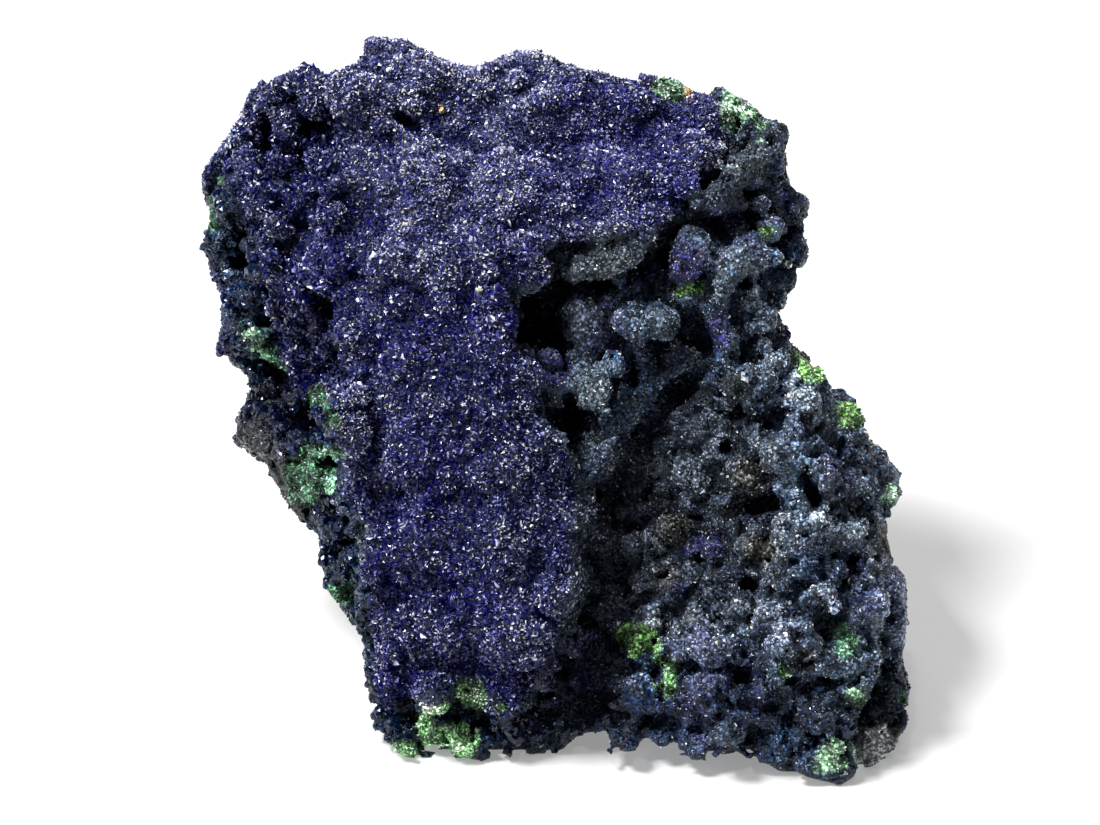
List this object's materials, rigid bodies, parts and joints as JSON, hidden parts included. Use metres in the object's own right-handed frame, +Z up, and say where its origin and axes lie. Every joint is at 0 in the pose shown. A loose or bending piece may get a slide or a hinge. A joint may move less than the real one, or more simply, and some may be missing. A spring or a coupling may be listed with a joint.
{
  "type": "azurite specimen",
  "caption": "Free-standing azurite mineral specimen: a drusy dark-blue crust beside a lined hollow, with rounded growths and small malachite patches.",
  "frame": {"origin": "middle of the piece's bounding box, at the height of the surface it rests on", "axes": "+Z up, +X to the right as the drusy face is seen, so the drusy face looks towards -Y and leans back by 28 degrees"},
  "size_m": [0.0682, 0.0544, 0.0573],
  "materials": {
    "azurite": "sparkling crystal druse, dark indigo blue, greyer in the hollow"
  },
  "bodies": {
    "root": {"azurite_specimen": "azurite"}
  },
  "joints": []
}
